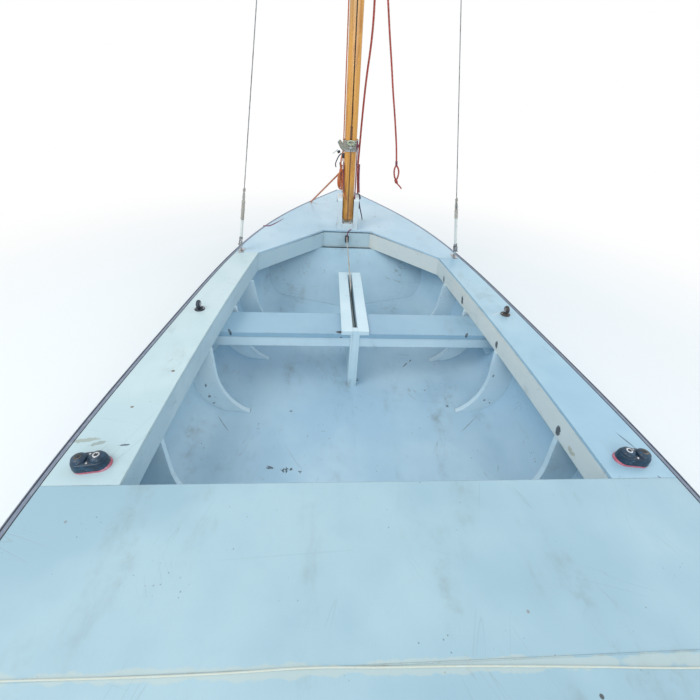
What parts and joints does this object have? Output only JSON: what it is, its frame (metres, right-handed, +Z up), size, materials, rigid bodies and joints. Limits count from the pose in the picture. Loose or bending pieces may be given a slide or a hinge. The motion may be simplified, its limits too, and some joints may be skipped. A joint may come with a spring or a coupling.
{
  "type": "sailing dinghy",
  "caption": "Small decked sailing dinghy with a centreboard, a raised mast in a tabernacle, wire stays, a thwart and deck cleats.",
  "frame": {"origin": "on the centreline, amidships, at the waterline of the empty boat", "axes": "+Y to the bow, +X to starboard, +Z up along the mast"},
  "size_m": [1.539, 3.3066, 5.1489],
  "materials": {
    "hull_paint": "aged white gloss paint",
    "deck_paint": "aged white paint, scratched",
    "cockpit_paint": "pale blue grey paint",
    "coaming_paint": "cream white paint",
    "mast_varnish": "varnished spruce",
    "rub_strip": "grey rubbing strip",
    "bright_metal": "stainless steel",
    "wire": "galvanised wire rope",
    "cleat_black": "black moulded plastic",
    "rope_red": "orange red braided rope",
    "cleat_red": "faded red wedge",
    "board_paint": "painted board"
  },
  "bodies": {
    "hull": {"hull_skin": "hull_paint", "transom": "hull_paint", "stem_post": "hull_paint", "keel_strip": "hull_paint", "skeg": "hull_paint", "bow_deck": "deck_paint", "foredeck": "deck_paint", "side_deck_port": "deck_paint", "side_deck_starboard": "deck_paint", "aft_deck": "deck_paint", "stern_deck": "deck_paint", "tabernacle_base": "deck_paint", "tabernacle_cheeks": "deck_paint", "coaming_front": "coaming_paint", "coaming_corner_port": "coaming_paint", "coaming_corner_starboard": "coaming_paint", "coaming_side_port": "coaming_paint", "coaming_side_starboard": "coaming_paint", "coaming_aft": "coaming_paint", "fore_bulkhead": "cockpit_paint", "aft_bulkhead": "cockpit_paint", "frame_fore": "cockpit_paint", "frame_thwart": "cockpit_paint", "frame_middle": "cockpit_paint", "frame_aft": "cockpit_paint", "thwart": "cockpit_paint", "thwart_apron": "cockpit_paint", "thwart_knees": "cockpit_paint", "trunk_side_port": "cockpit_paint", "trunk_side_starboard": "cockpit_paint", "trunk_post_aft": "cockpit_paint", "trunk_post_fore": "cockpit_paint", "trunk_cap_port": "cockpit_paint", "trunk_cap_starboard": "cockpit_paint", "rub_strip_port": "rub_strip", "rub_strip_starboard": "rub_strip", "centreboard_bolt": "bright_metal", "tabernacle_bolt": "bright_metal", "mast_bolt": "bright_metal", "chainplates": "bright_metal", "stemhead_fitting": "bright_metal", "rudder_gudgeons": "bright_metal", "cam_cleat_port": "cleat_black", "cam_cleat_starboard": "cleat_black", "sheet_lead_port": "cleat_black", "sheet_lead_starboard": "cleat_black", "clam_cleat": "cleat_black", "cleat_wedge_port": "cleat_red", "cleat_wedge_starboard": "cleat_red"},
    "mast": {"mast": "mast_varnish", "boom_band": "bright_metal", "hounds_band": "bright_metal", "masthead_cap": "bright_metal", "forestay": "wire", "mast_eye": "bright_metal", "hanging_line": "rope_red", "hanging_loop": "rope_red"},
    "shroud_port": {"shroud_port": "wire"},
    "shroud_starboard": {"shroud_starboard": "wire"},
    "centreboard": {"centreboard": "board_paint"}
  },
  "joints": [
    {"name": "mast_fold", "type": "hinge", "parent": "hull", "child": "mast", "pos_m": [0, 0.945, 0.49588], "axis": [1, 0, 0], "range_deg": [0, 80]},
    {"name": "shroud_port_fold", "type": "hinge", "parent": "hull", "child": "shroud_port", "pos_m": [-0.54097, 0.572, 0.374], "axis": [1, 0, 0], "range_deg": [0, 80]},
    {"name": "shroud_starboard_fold", "type": "hinge", "parent": "hull", "child": "shroud_starboard", "pos_m": [0.54097, 0.572, 0.374], "axis": [1, 0, 0], "range_deg": [0, 80]},
    {"name": "centreboard_swing", "type": "hinge", "parent": "hull", "child": "centreboard", "pos_m": [0, 0.44, 0.038], "axis": [1, 0, 0], "range_deg": [0, 72]}
  ],
  "couplings": [
    {"joint": "shroud_port_fold", "follows": "mast_fold", "ratio": 1},
    {"joint": "shroud_starboard_fold", "follows": "mast_fold", "ratio": 1}
  ]
}
